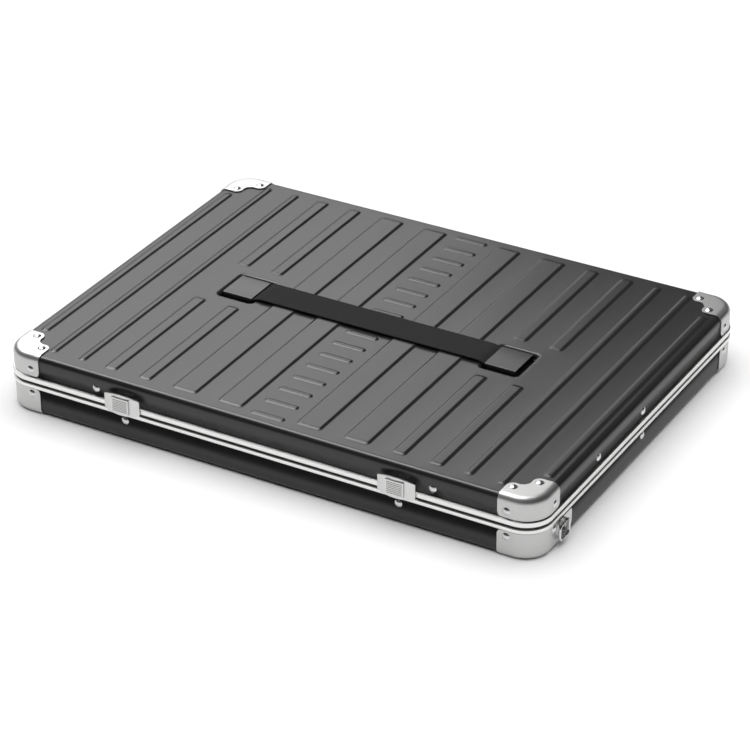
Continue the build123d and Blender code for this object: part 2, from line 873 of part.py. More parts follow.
for side_name, side in (("left", -1), ("right", 1)):
    x = side * hinge_x

    with BuildPart() as hinge_base_leaf:
        hinge_leaf(x, -1, base_band_low, range(0, hinge_knuckles, 2))
        lug_low = seam_z + stop_lug_height - stop_lug_depth
        with Locations((x, barrel_y + (hinge_barrel_radius + hinge_pin_radius) / 2, lug_low)):
            Box(
                knuckle_width - 2 * hinge_side_gap,
                stop_lug_reach - (hinge_barrel_radius + hinge_pin_radius) / 2,
                stop_lug_depth,
                align=(Align.CENTER, Align.MIN, Align.MIN),
            )
        drill(hinge_base_places, 2 * hinge_sheet)
    write(hinge_base_leaf, f"hinge_base_leaf_{side_name}")

    with BuildPart() as hinge_lid_leaf:
        hinge_leaf(x, 1, lid_band_top, range(1, hinge_knuckles, 2))
        drill(hinge_lid_places, 2 * hinge_sheet)
    write(hinge_lid_leaf, f"hinge_lid_leaf_{side_name}")

    with BuildPart() as hinge_pin:
        with BuildSketch(Plane.YZ.offset(x - hinge_width / 2)):
            with Locations((barrel_y, seam_z)):
                Circle(hinge_pin_radius)
        extrude(amount=hinge_width)
    write(hinge_pin, f"hinge_pin_{side_name}")

hinge_rivet_part = rivet(hinge_seat + wall_grip)

with BuildPart() as hinge_lid_rivets:
    with Locations(*hinge_lid_places):
        add(hinge_rivet_part)
write(hinge_lid_rivets, "hinge_lid_rivets")

with BuildPart() as hinge_base_rivets:
    with Locations(*hinge_base_places):
        add(hinge_rivet_part)
write(hinge_base_rivets, "hinge_base_rivets")


# ---------------------------------------------------------------------------
# Carry handle
# ---------------------------------------------------------------------------

plate_top_z = lid_panel_z + plate_rise
plate_foot_z = pocket_floor_z + fit_gap
strap_low_z = lid_panel_z + rib_height + soft_gap
strap_foot_z = pocket_floor_z + soft_gap

for side_name, side in (("left", -1), ("right", 1)):
    with BuildPart() as handle_plate:
        with BuildSketch(Plane.YZ.offset(side * plate_centre_x - plate_length / 2)) as fold:
            with Locations((0, (plate_top_z + plate_foot_z) / 2)):
                Rectangle(2 * plate_half_width, plate_top_z - plate_foot_z)
            fillet(fold.vertices().group_by(Axis.Y)[-1], plate_bend_radius)
            inner_height = plate_top_z - plate_sheet - plate_foot_z
            with Locations((0, plate_foot_z + inner_height / 2)):
                Rectangle(2 * (plate_half_width - plate_sheet), inner_height, mode=Mode.SUBTRACT)
        extrude(amount=plate_length)
    write(handle_plate, f"handle_plate_{side_name}")

    with BuildPart() as handle_backing:
        with Locations((side * plate_centre_x, 0, pocket_floor_z - sheet)):
            Box(
                backing_length,
                2 * backing_half_width,
                backing_sheet,
                align=(Align.CENTER, Align.CENTER, Align.MAX),
            )
            with Locations((0, -stud_y), (0, stud_y)):
                Cylinder(stud_radius + fit_gap, 4 * backing_sheet, mode=Mode.SUBTRACT)
    write(handle_backing, f"handle_backing_{side_name}")

with BuildPart() as handle_strap:
    with BuildSketch(Plane.XZ):
        with BuildLine():
            Polyline(
                (0, strap_low_z),
                (strap_ramp_top, strap_low_z),
                (strap_ramp_foot, strap_foot_z),
                (strap_end_x, strap_foot_z),
                (strap_end_x, strap_foot_z + strap_thickness),
                (strap_ramp_foot + soft_gap, strap_foot_z + strap_thickness),
                (strap_ramp_top + soft_gap, strap_low_z + strap_thickness),
                (0, strap_low_z + strap_thickness),
                close=True,
            )
        make_face()
        mirror(about=Plane.YZ)
    extrude(amount=strap_half_width, both=True)
    with Locations(*stud_spots):
        Cylinder(stud_radius + soft_gap, 8 * strap_thickness, mode=Mode.SUBTRACT)
write(handle_strap, "handle_strap")

with BuildPart() as handle_studs:
    shoulder_low = strap_foot_z + strap_thickness + soft_gap - plate_top_z + plate_sheet
    stud_end = pocket_floor_z - sheet - backing_sheet - plate_top_z + plate_sheet
    with Locations(*[(x, y, plate_top_z - plate_sheet) for x, y, z in stud_spots]):
        Cylinder(
            stud_shoulder_radius,
            -shoulder_low,
            align=(Align.CENTER, Align.CENTER, Align.MAX),
        )
        Cylinder(stud_radius, -stud_end, align=(Align.CENTER, Align.CENTER, Align.MAX))
        with Locations((0, 0, stud_end)):
            Cylinder(
                stud_tail_radius,
                stud_tail_height,
                align=(Align.CENTER, Align.CENTER, Align.MAX),
            )
write(handle_studs, "handle_studs")


# ---------------------------------------------------------------------------
# Side rings and their brackets
# ---------------------------------------------------------------------------

ring_x = frame_length / 2 + ring_stand_off
ring_plate_x = wall_x + ring_plate_sheet
ring_arm_top = ring_height + ring_wire_radius + ring_ear_reach / 2

with BuildPart() as bracket_side:
    far_ear, near_ear = (ring_near_y + place for place in ring_ear_places)
    plate_far = ring_near_y + ring_plate_span
    with BuildSketch(Plane.YZ.offset(wall_x)):
        plate_near = far_ear - ring_ear_sheet / 2
        with Locations(((plate_near + plate_far) / 2, (ring_plate_foot + ring_arm_top) / 2)):
            RectangleRounded(
                plate_far - plate_near, ring_arm_top - ring_plate_foot, ring_plate_corner
            )
        arm_near = near_ear - ring_ear_sheet / 2
        with Locations(((arm_near + far_ear) / 2, ring_arm_top - ring_arm_height / 2)):
            Rectangle(far_ear - arm_near, ring_arm_height)
        ear_height = ring_arm_top - ring_plate_corner / 2 - ring_ear_foot
        with Locations((far_ear, ring_ear_foot + ear_height / 2)):
            Rectangle(ring_ear_sheet, ear_height)
    extrude(amount=ring_plate_sheet)
    for ear_y, foot_z in ((far_ear, ring_ear_foot), (near_ear, ring_arm_top - ring_arm_height)):
        with BuildSketch(Plane.XZ.offset(-ear_y - ring_ear_sheet / 2)) as ear_face:
            outer_x = ring_x + ring_ear_reach
            with BuildLine():
                Polyline(
                    (wall_x + ring_plate_sheet / 2, foot_z),
                    (outer_x, foot_z + ring_ear_reach),
                    (outer_x, ring_arm_top),
                    (wall_x + ring_plate_sheet / 2, ring_arm_top),
                    close=True,
                )
            make_face()
            upper_corner = ear_face.vertices().group_by(Axis.X)[-1].sort_by(Axis.Y)[-1]
            fillet(upper_corner, ring_ear_corner)
            with Locations((ring_x, ring_height)):
                Circle(ring_wire_radius + running_gap, mode=Mode.SUBTRACT)
        extrude(amount=ring_ear_sheet)
    with Locations((wall_x, ring_rivet_y, ring_rivet_height)):
        Cylinder(small_bore, 4 * ring_plate_sheet, rotation=(0, 90, 0), mode=Mode.SUBTRACT)

with BuildPart() as ring_side:
    with BuildLine(Plane.YZ.offset(ring_x)) as ring_path:
        ring_far_y = ring_near_y + ring_span
        middle_y = (ring_near_y + ring_far_y) / 2
        ring_low = ring_height - ring_drop
        for end_y, first_z, last_z in (
            (ring_far_y, ring_height, ring_low),
            (ring_near_y, ring_low, ring_height),
        ):
            FilletPolyline(
                (middle_y, first_z),
                (end_y, first_z),
                (end_y, last_z),
                (middle_y, last_z),
                radius=ring_corner_radius,
            )
    with BuildSketch(Plane(origin=(ring_x, middle_y, ring_height), z_dir=(0, 1, 0))):
        Circle(ring_wire_radius)
    sweep()

for piece_name, blank in (("ring_bracket", bracket_side), ("side_ring", ring_side)):
    with BuildPart() as placed:
        add(blank.part)
    write(placed, f"{piece_name}_right")
    with BuildPart() as placed:
        add(blank.part.mirror(Plane.YZ))
    write(placed, f"{piece_name}_left")

ring_rivet_part = rivet(ring_plate_sheet + sheet, small_head_radius, small_head_height,
                        small_shank_radius)
with BuildPart() as ring_bracket_rivets:
    with Locations(*ring_places):
        add(ring_rivet_part)
write(ring_bracket_rivets, "ring_bracket_rivets")


# ---------------------------------------------------------------------------
# Linings
# ---------------------------------------------------------------------------

base_liner_low = base_panel_z + sheet + base_liner_rise
base_liner_floor_z = base_liner_low + base_liner_floor
hollow_inset = liner_inset + base_liner_border

with BuildPart() as base_liner:
    with BuildSketch(Plane.XY.offset(base_liner_low)):
        case_outline(liner_inset)
    extrude(amount=base_band_top - base_liner_top_gap - base_liner_low)
    with BuildSketch(Plane.XY.offset(base_liner_floor_z)):
        case_outline(hollow_inset)
    extrude(amount=base_band_top, mode=Mode.SUBTRACT)
write(base_liner, "base_liner")

with BuildPart() as laptop_strap:
    with Locations((0, 0, base_liner_floor_z + soft_gap)):
        Box(
            2 * laptop_strap_half_width,
            frame_width - 2 * hollow_inset - 2 * soft_gap,
            laptop_strap_thickness,
            align=(Align.CENTER, Align.CENTER, Align.MIN),
        )
write(laptop_strap, "laptop_strap")

lid_liner_top = lid_panel_z - sheet - lid_liner_gap

with BuildPart() as lid_liner:
    with BuildSketch(Plane.XY.offset(lid_liner_top)):
        case_outline(liner_inset)
    extrude(amount=-lid_liner_thickness)
    clear_low = pocket_floor_z - sheet - backing_sheet - stud_tail_height - soft_gap
    with BuildSketch(Plane.XY.offset(clear_low)):
        with Locations((-pocket_centre_x, 0), (pocket_centre_x, 0)):
            RectangleRounded(
                pocket_length + 2 * liner_pocket_margin,
                2 * (pocket_half_width + liner_pocket_margin),
                pocket_radius,
            )
    extrude(amount=lid_panel_z, mode=Mode.SUBTRACT)
write(lid_liner, "lid_liner")
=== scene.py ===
import math

import bmesh
import bpy
import numpy as np
from mathutils import Matrix, Vector
from mathutils.geometry import delaunay_2d_cdt


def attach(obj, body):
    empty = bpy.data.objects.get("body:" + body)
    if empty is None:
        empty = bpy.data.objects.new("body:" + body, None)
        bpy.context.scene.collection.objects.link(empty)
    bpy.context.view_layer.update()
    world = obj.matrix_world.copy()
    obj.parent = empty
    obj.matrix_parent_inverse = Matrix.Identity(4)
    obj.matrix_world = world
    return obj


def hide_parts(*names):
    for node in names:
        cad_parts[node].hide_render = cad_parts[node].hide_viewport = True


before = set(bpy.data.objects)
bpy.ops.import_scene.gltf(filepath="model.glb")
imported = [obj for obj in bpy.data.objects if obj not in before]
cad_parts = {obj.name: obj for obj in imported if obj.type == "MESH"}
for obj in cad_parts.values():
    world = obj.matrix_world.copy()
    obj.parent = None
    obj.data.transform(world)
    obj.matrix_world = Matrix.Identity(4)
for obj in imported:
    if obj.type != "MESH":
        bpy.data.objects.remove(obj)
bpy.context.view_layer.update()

# ---------------------------------------------------------------------------
# Base tray. Aluminium sheet 1 mm thick, deep drawn with rolled edges, its stiffening
# ribs and ladder pressed outwards, anodised dark grey. It sits in the base frame.
# ---------------------------------------------------------------------------

MM = 0.001
PLAN = (200.0, 150.0, 19.0)  # half length, half width and corner radius of the frames
WALL_INSET = 1.6
EDGE_ROLL = 4.0
SHEET = 1.0
RIB_RISE = 0.8
RUNG_RISE = 0.62
BASE_PANEL_Z = 0.8
BASE_RIM_Z = 21.8
WELD = 0.004  # points nearer to each other than this are one point
SLIVER = 0.001


class Outline:
    """A rounded rectangle, or a slot where the radius is the half width."""

    def __init__(self, half_x, half_y, radius, x=0.0, y=0.0, steps=6, pitch=12.0):
        self.half = np.array([half_x, half_y])
        self.radius = radius
        self.centre = np.array([x, y])
        self.steps = steps
        self.pitch = pitch

    def loop(self, grow=0.0, lengthen=0.0):
        """Points anticlockwise from the +X side: a quarter circle of the radius plus grow
        about each corner's centre, with evenly spaced points on the straights between. Both
        ends along Y move out by lengthen, or in below zero."""
        straight = self.half - self.radius
        run = []
        for quarter, side in enumerate(((1, 1), (-1, 1), (-1, -1), (1, -1))):
            angle = (quarter + np.linspace(0, 1, self.steps + 1)) * np.pi / 2
            arc = np.stack([np.cos(angle), np.sin(angle)], 1) * (self.radius + grow)
            arc += self.centre + side * (straight + np.array([0, lengthen]))
            span = 2 * straight[quarter % 2]
            if span < 1e-6:
                run.append(arc[:-1])
                continue
            parts = max(1, int(np.ceil(span / self.pitch)))
            share = np.arange(1, parts)[:, None] / parts
            heading = np.array([-np.sin(angle[-1]), np.cos(angle[-1])])
            length = span + 2 * lengthen * abs(heading[1])
            run += [arc, arc[-1] + heading * length * share]
        return np.concatenate(run)

    def distance(self, spots):
        """How far each spot lies outside the outline; below zero inside it."""
        over = np.abs(spots - self.centre) - (self.half - self.radius)
        outside = np.hypot(*np.maximum(over, 0).T)
        return outside + np.minimum(over.max(1), 0) - self.radius


def case_plan(inset, steps=14):
    """The case's plan, drawn in from the frames' outer face."""
    return Outline(PLAN[0] - inset, PLAN[1] - inset, PLAN[2] - inset, steps=steps)


def lift(loop, z):
    """A flat loop of points raised to a height, or to a height for each point."""
    return np.column_stack([loop, np.broadcast_to(z, len(loop))])


class Form:
    """The points and faces of one piece, in millimetres, gathered patch by patch."""

    def __init__(self):
        self.points = []
        self.faces = []
        self.count = 0

    def patch(self, points, faces):
        """Adds points and the faces between them, numbered from the patch's own first."""
        points = np.reshape(points, (-1, 3))
        self.points.append(points)
        self.faces += [[corner + self.count for corner in face] for face in faces]
        self.count += len(points)

    def grid(self, points, closed=False, flip=False):
        """Quads over rows and columns of points; closed joins the last column to the first."""
        points = np.asarray(points)
        rows, columns = points.shape[:2]
        index = np.arange(rows * columns).reshape(rows, columns)
        if closed:
            index = np.concatenate([index, index[:, :1]], 1)
        quads = np.stack(
            [index[:-1, :-1], index[:-1, 1:], index[1:, 1:], index[1:, :-1]], -1
        ).reshape(-1, 4)
        self.patch(points, (quads[:, ::-1] if flip else quads).tolist())

    def cover(self, ring, flip=False):
        """One flat face over a ring of points that runs anticlockwise."""
        order = list(range(len(ring)))
        self.patch(ring, [order[::-1] if flip else order])

    def piece(self, name, body, finish, stands_for, slot, sharp=None):
        """Makes the mesh, joins its patches, and rides it on a body of the frame. Edges
        steeper than sharp degrees are kept crisp."""
        mesh = bpy.data.meshes.new(name)
        mesh.from_pydata((np.concatenate(self.points) * MM).tolist(), [], self.faces)
        work = bmesh.new()
        work.from_mesh(mesh)
        bmesh.ops.remove_doubles(work, verts=work.verts, dist=WELD * MM)
        bmesh.ops.dissolve_degenerate(work, edges=work.edges, dist=SLIVER * MM)
        work.to_mesh(mesh)
        work.free()
        mesh.shade_smooth()
        if sharp is not None:
            mesh.set_sharp_from_angle(angle=math.radians(sharp))
        mesh.materials.append(finish.material)
        made = bpy.data.objects.new(name, mesh)
        bpy.context.collection.objects.link(made)
        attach(made, body)
        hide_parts(*stands_for)
        return made


def field(outer, holes, spacing, margin):
    """Spots and triangles of the flat field inside the outer loop and outside the holes'
    loops: the loops are kept as edges, and a square grid of spots fills the space between."""
    loops = [outer[0].loop(outer[1])] + [hole.loop(grow) for hole, grow in holes]
    edges = []
    start = 0
    for loop in loops:
        ids = start + np.arange(len(loop))
        edges.append(np.stack([ids, np.roll(ids, -1)], 1))
        start += len(loop)
    reach = outer[0].half + outer[1]
    x = np.arange(-reach[0] + spacing / 2, reach[0], spacing)
    y = np.arange(-reach[1] + spacing / 2, reach[1], spacing)
    inner = np.stack(np.meshgrid(x, y), -1).reshape(-1, 2)
    keep = outer[0].distance(inner) < outer[1] - margin
    for hole, grow in holes:
        keep &= hole.distance(inner) > grow + margin
    spots = np.concatenate(loops + [inner[keep]])
    edges = np.concatenate(edges)
    vectors = [Vector(spot) for spot in spots.tolist()]
    made = delaunay_2d_cdt(vectors, edges.tolist(), [], 0, 1e-5)
    spots = np.array([tuple(spot) for spot in made[0]])
    faces = np.array(made[2])
    middle = spots[faces].mean(1)
    keep = outer[0].distance(middle) < outer[1]
    for hole, grow in holes:
        keep &= hole.distance(middle) > grow
    return spots, faces[keep]


def soft_step(rows):
    """Even shares from 0 to 1 and the raised cosine that eases from 0 to 1 over them."""
    share = np.linspace(0, 1, rows)
    return share, (1 - np.cos(np.pi * share)) / 2


RIB_END = 138.0
EDGE_RIB_END = 117.0
SPLIT_RIB_END = 26.5  # where the split ribs stop short of the handle
RIB_CORNER = 2.6
RIB_BEND_OUT = 0.7
RIB_BEND_RUN = 2.5
RIB_BEND_ROWS = 10
SHORE = 0.5  # flat strip kept on both sides of a bend, so that the flats shade flat
LEAST_CORNER = 0.3
RIB_END_RUN = 1.2  # how much longer the slope at a rib's ends is than at its sides
RUNG_HALF = (12.2, 2.2)
RUNG_STEP = 17.1
RUNGS_EACH_WAY = 8
ROLL_ROWS = 9
FIELD_SPACING = 3.5
FIELD_MARGIN = 1.6
SWELL = 0.10
SWELL_RUN = 4.0


def rib_outlines(split, ladder_y):
    """Every rib and ladder rung of one panel, the split ones leaving the handle clear. Each
    row holds a rib's distance from the middle, its width, and its front and back ends."""
    ribs = []
    whole = ((-RIB_END, RIB_END),)
    halves = ((SPLIT_RIB_END, RIB_END), (-RIB_END, -SPLIT_RIB_END))
    rows = [(188.3, 6.0, -EDGE_RIB_END, EDGE_RIB_END)]
    rows += [(x, 5.2, -RIB_END, RIB_END) for x in (166.9, 144.2)]
    rows += [(x, 18.3, -RIB_END, RIB_END) for x in (64.1, 29.2)]
    for x in (121.2, 94.7):
        rows += [(x, 9.2, low, high) for low, high in (halves if split else whole)]
    for side in (-1, 1):
        for x, width, low, high in rows:
            half = (high - low) / 2
            corner = min(width / 2, RIB_CORNER)
            ribs.append(Outline(width / 2, half, corner, side * x, (high + low) / 2))
    for step in range(-RUNGS_EACH_WAY, RUNGS_EACH_WAY + 1):
        place_y = ladder_y + RUNG_STEP * step
        ribs.append(Outline(*RUNG_HALF, RUNG_HALF[1], 0.0, place_y, steps=4))
    return ribs


def pressed_tray(panel_z, rim_z, ribs, sinks=()):
    """One tray's outer face: walls up to the rolled edge, a quarter circle of EDGE_ROLL, on
    to the flat panel; each rib rises from it by a raised cosine over the width of its bend,
    so that a narrow rib is one rounded ridge. The sinks are left open in the panel."""
    form = Form()
    up = 1 if panel_z > rim_z else -1
    flip = up < 0
    share, rise = soft_step(RIB_BEND_ROWS)
    turn = np.linspace(0, np.pi / 2, ROLL_ROWS)
    rows = [(WALL_INSET, rim_z)]
    rows += [(WALL_INSET, panel_z - up * EDGE_ROLL - up * SHORE)]
    rows += [
        (WALL_INSET + EDGE_ROLL * (1 - math.cos(t)), panel_z - up * EDGE_ROLL * (1 - math.sin(t)))
        for t in turn
    ]
    shore = WALL_INSET + EDGE_ROLL + SHORE
    rows.append((shore, panel_z))
    form.grid([lift(case_plan(inset).loop(), z) for inset, z in rows], closed=True, flip=flip)
    for rib in ribs:
        rung = rib.half[1] <= rib.radius
        height = RUNG_RISE if rung else RIB_RISE
        rises = [0.0, *(height * rise), height]
        run = min(RIB_BEND_RUN, rib.radius + RIB_BEND_OUT - SHORE - LEAST_CORNER)
        bend = RIB_BEND_OUT - run * share
        grows = [RIB_BEND_OUT + SHORE, *bend, bend[-1] - SHORE]
        draw = 0.0 if rung else -RIB_END_RUN
        draws = [0.0, *(draw * share), draw]
        loops = [
            lift(rib.loop(grow, draw), panel_z + up * z)
            for grow, draw, z in zip(grows, draws, rises)
        ]
        form.grid(loops, closed=True, flip=flip)
        form.cover(loops[-1], flip=flip)
    holes = [(rib, RIB_BEND_OUT + SHORE) for rib in ribs] + list(sinks)
    spots, faces = field((case_plan(shore), 0.0), holes, FIELD_SPACING, FIELD_MARGIN)
    form.patch(lift(spots, panel_z), (faces[:, ::-1] if flip else faces).tolist())
    return form


def draw_up(form, panel_z, rim_z, holes):
    """The sheet beside each rib and pocket is drawn up a little by the press: a height that
    dies away exponentially with the distance, and goes out over the rolled edge."""
    up = 1 if panel_z > rim_z else -1
    for points in form.points:
        swell = sum(
            np.exp(-np.maximum(hole.distance(points[:, :2]) - grow, 0) / SWELL_RUN)
            for hole, grow in holes
        )
        near = np.clip(1 - (panel_z - points[:, 2]) * up / EDGE_ROLL, 0, 1)
        points[:, 2] += up * SWELL * (swell - 1) * near


class Wire:
    """A value in a material, so that sums on it read as sums: each adds its Math node."""

    def __init__(self, finish, socket):
        self.finish = finish
        self.socket = socket

    def sum(self, operation, first, second):
        return self.finish.node("ShaderNodeMath", {"operation": operation}, {0: first, 1: second})

    def __add__(self, other):
        return self.sum("ADD", self, other)

    def __mul__(self, other):
        return self.sum("MULTIPLY", self, other)

    __radd__ = __add__
    __rmul__ = __mul__


class Finish:
    """One material: a Principled shader, its constants, and the nodes that feed it."""

    def __init__(self, name, constants):
        self.material = bpy.data.materials.new(name)
        self.material.use_nodes = True
        self.tree = self.material.node_tree
        self.shader = self.tree.nodes["Principled BSDF"]
        for socket, value in constants.items():
            self.feed(self.shader.inputs[socket], value)

    def feed(self, socket, value):
        """Links a wire to a socket, or sets the socket's own value."""
        if isinstance(value, Wire):
            self.tree.links.new(value.socket, socket)
        else:
            socket.default_value = value

    def node(self, kind, settings=None, sockets=None, out=0):
        """Adds a node: its settings first, then the values or wires of its sockets."""
        node = self.tree.nodes.new(kind)
        for key, value in (settings or {}).items():
            setattr(node, key, value)
        for key, value in (sockets or {}).items():
            self.feed(node.inputs[key], value)
        return Wire(self, node.outputs[out])

    def place(self, stretch=(1, 1, 1)):
        """Object coordinates, stretched along each axis."""
        spot = self.node("ShaderNodeTexCoord", out="Object")
        return self.node("ShaderNodeMapping", {}, {"Vector": spot, "Scale": stretch})

    def grain(self, scale, stretch=(1, 1, 1), detail=2.0):
        """Fine random grain between 0 and 1, scale to the metre."""
        where = self.place(stretch)
        return self.node(
            "ShaderNodeTexNoise", {}, {"Vector": where, "Scale": scale, "Detail": detail}
        )

    def blend(self, share, first, second):
        """A colour between two, by share."""
        sockets = {"Factor": share, 6: (*first, 1), 7: (*second, 1)}
        return self.node("ShaderNodeMix", {"data_type": "RGBA"}, sockets, out=2)

    def wave(self, socket, turn):
        """A sine of a coordinate, turn being its radians to the metre."""
        where = Wire(self, socket) * turn
        return self.node("ShaderNodeMath", {"operation": "SINE"}, {0: where})

    def set(self, socket, value):
        """Feeds one of the shader's sockets."""
        self.feed(self.shader.inputs[socket], value)

    def bump(self, height, distance, strength=1.0):
        """Presses a height into the surface, distance in metres."""
        sockets = {"Height": height, "Distance": distance, "Strength": strength}
        self.set("Normal", self.node("ShaderNodeBump", {}, sockets))


def anodised(name, dark, light, roughness):
    """Dye-sealed anodised sheet: near black under a clear satin skin, with a fine grain."""
    finish = Finish(name, {"Metallic": 0.0, "IOR": 1.5})
    grain = finish.grain(2600.0)
    cloud = finish.grain(18.0, detail=3.0)
    finish.set("Base Color", finish.blend(grain * 0.7 + cloud * 0.3, dark, light))
    finish.set("Roughness", roughness - 0.03 + grain * 0.03 + cloud * 0.03)
    finish.bump(grain, 0.000004, 0.5)
    return finish


sheet_finish = anodised("anodised sheet", (0.006, 0.006, 0.006), (0.012, 0.012, 0.012), 0.33)


def thicken(made, thickness):
    """Gives a skin, which is the piece's outer face, its sheet thickness inwards."""
    solid = made.modifiers.new("thickness", "SOLIDIFY")
    solid.thickness = thickness * MM
    solid.offset = -1
    solid.use_even_offset = True


base_ribs = rib_outlines(split=False, ladder_y=0.0)
base_tray = pressed_tray(BASE_PANEL_Z, BASE_RIM_Z, base_ribs)
draw_up(base_tray, BASE_PANEL_Z, BASE_RIM_Z, [(rib, RIB_BEND_OUT + SHORE) for rib in base_ribs])
thicken(
    base_tray.piece("base_tray", "base", sheet_finish, ["base_shell"], "anodised_sheet"), SHEET
)

# ---------------------------------------------------------------------------
# Lid tray. The same pressed sheet, shallower, with the carry handle's two pockets sunk
# into it and the outer ribs broken beside them.
# ---------------------------------------------------------------------------

LID_PANEL_Z = 44.0
LID_RIM_Z = 26.0
POCKET_X = 101.25
POCKET_HALF = (15.75, 18.4)
POCKET_CORNER = 5.0
POCKET_DEPTH = 4.5
POCKET_RIM = 3.0
POCKET_LIP = 2.7  # how much of the rim lies inside the pocket's outline
POCKET_FOOT = 0.8
POCKET_DRAFT = math.tan(math.radians(14))
POCKET_ROWS = 10
LADDER_SHIFT = -1.2  # the lid's ladder stands a little nearer to the front

pockets = [Outline(*POCKET_HALF, POCKET_CORNER, side * POCKET_X, steps=8) for side in (-1, 1)]
pocket_mouth = POCKET_RIM - POCKET_LIP + SHORE
mouths = [(pocket, pocket_mouth) for pocket in pockets]
lid_ribs = rib_outlines(split=True, ladder_y=LADDER_SHIFT)
lid_tray = pressed_tray(LID_PANEL_Z, LID_RIM_Z, lid_ribs, mouths)


def sunk_pocket(form, pocket):
    """One handle pocket, as rows of growth and depth round its outline: a rim that is a
    quarter circle of POCKET_RIM, drafted walls, a foot that is one of POCKET_FOOT, and a
    flat floor."""
    turn = np.linspace(0, np.pi / 2, POCKET_ROWS)
    rows = [(pocket_mouth, 0.0)]
    rows += [
        (POCKET_RIM * (1 - math.sin(t)) - POCKET_LIP, POCKET_RIM * (1 - math.cos(t)))
        for t in turn
    ]
    foot_top = POCKET_DEPTH - POCKET_FOOT
    wall = POCKET_LIP + (foot_top - POCKET_RIM) * POCKET_DRAFT
    rows += [
        (-wall - POCKET_FOOT * (1 - math.cos(t)), foot_top + POCKET_FOOT * math.sin(t))
        for t in turn
    ]
    rows.append((-wall - POCKET_FOOT - SHORE, POCKET_DEPTH))
    loops = [lift(pocket.loop(grow), LID_PANEL_Z - drop) for grow, drop in rows]
    form.grid(loops, closed=True)
    form.cover(loops[-1])


for pocket in pockets:
    sunk_pocket(lid_tray, pocket)
draw_up(
    lid_tray, LID_PANEL_Z, LID_RIM_Z, [(rib, RIB_BEND_OUT + SHORE) for rib in lid_ribs] + mouths
)
thicken(lid_tray.piece("lid_tray", "lid", sheet_finish, ["lid_shell"], "anodised_sheet"), SHEET)

# ---------------------------------------------------------------------------
# Frames. Aluminium extrusions bent round the case and joined at the back: a bright band
# outside, a web over the tray's rim, and a flange inside that the wall rivets go through.
# ---------------------------------------------------------------------------

BAND_EDGE = 0.55
BAND_EDGE_ROWS = 4
BAND_FIT = 1.55
FLANGE = (2.65, 4.05)
WEB = 1.25


def bright_metal(name, shade, roughness, scale, stretch=(1, 1, 1), depth=0.000003):
    """Bare or plated metal with a fine grain that is pulled out along the stretch."""
    finish = Finish(name, {"Metallic": 1.0})
    grain = finish.grain(scale, stretch)
    cloud = finish.grain(14.0, detail=3.0)
    worn = tuple(0.93 * part for part in shade)
    finish.set("Base Color", finish.blend(grain * 0.6 + cloud * 0.4, worn, shade))
    finish.set("Roughness", roughness - 0.04 + grain * 0.05 + cloud * 0.03)
    finish.bump(grain, depth, 0.4)
    return finish


band_finish = bright_metal(
    "frame extrusion", (0.80, 0.80, 0.79), 0.30, 1500.0, stretch=(0.03, 0.03, 2.0)
)


def frame_hoop(web_z, band_end, flange_end):
    """One frame: its closed section, rounded at the band's outer edges, carried round the
    case's plan by insetting the plan for each point of the section. The web lies on the
    seam, and the band and the flange stand on it."""
    turn = np.linspace(0, np.pi / 2, BAND_EDGE_ROWS)
    up = 1 if flange_end > web_z else -1
    seat = web_z + up * WEB
    section = [
        (BAND_EDGE * (1 - math.sin(t)), web_z + up * BAND_EDGE * (1 - math.cos(t))) for t in turn
    ]
    section += [
        (BAND_EDGE * (1 - math.cos(t)), band_end - up * BAND_EDGE * (1 - math.sin(t)))
        for t in turn
    ]
    section += [(BAND_FIT, band_end), (BAND_FIT, seat), (FLANGE[0], seat)]
    section += [(FLANGE[0], flange_end), (FLANGE[1], flange_end), (FLANGE[1], web_z)]
    section.append(section[0])
    form = Form()
    loops = [lift(case_plan(inset, 18).loop(), z) for inset, z in section]
    form.grid(loops, closed=True, flip=up < 0)
    return form


base_hoop = frame_hoop(web_z=23.1, band_end=20.0, flange_end=13.2)
base_hoop.piece("base_band", "base", band_finish, ["base_frame"], "frame_extrusion", sharp=40)
lid_hoop = frame_hoop(web_z=24.7, band_end=28.6, flange_end=36.0)
lid_hoop.piece("lid_band", "lid", band_finish, ["lid_frame"], "frame_extrusion", sharp=40)


def dress(node, finish):
    """Puts a finish on a piece of the frame that is shown as it was built."""
    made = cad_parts[node]
    made.data.materials.clear()
    made.data.materials.append(finish.material)


# ---------------------------------------------------------------------------
# Seam gasket. A black rubber strip that lies on the base frame and closes the seam; it is
# cut where the keepers come through.
# ---------------------------------------------------------------------------

rubber_finish = Finish("seal rubber", {"Base Color": (0.012, 0.012, 0.012, 1)})
rubber_grain = rubber_finish.grain(900.0)
rubber_finish.set("Roughness", 0.6 + rubber_grain * 0.15)
rubber_finish.bump(rubber_grain, 0.00001)
dress("frame_seal", rubber_finish)

# ---------------------------------------------------------------------------
# Corner caps. Steel pressings 0.8 mm thick over each corner, nickel plated to a satin
# finish: a leg on either wall and two round lobes on the panel, one to each rivet.
# ---------------------------------------------------------------------------

CAP_SHEET = 0.8
CAP_ROLL = 4.8
CAP_NEAR = 12.4
CAP_FAR = 24.5
CAP_LOBE = 4.9
CAP_SCALLOP = 23.0
CAP_REACH = CAP_FAR + CAP_LOBE
CAP_FOOT = 3.0
CAP_FOOT_Z = {"base": 19.55, "lid": 29.05}  # just clear of the bright bands
CAP_WALL_ROWS = 7
CAP_ROLL_ROWS = 9
CAP_TOP_ROWS = 9
CRISP = 40  # degrees between two faces from which their edge is an edge, not a curve

cap_finish = bright_metal("satin nickel", (0.58, 0.58, 0.575), 0.44, 2200.0)


def arc(centre, radius, start, sweep, steps):
    """Points of an arc in degrees, both ends included."""
    angle = np.radians(start + np.linspace(0, sweep, steps + 1))
    return np.array(centre) + radius * np.stack([np.cos(angle), np.sin(angle)], 1)


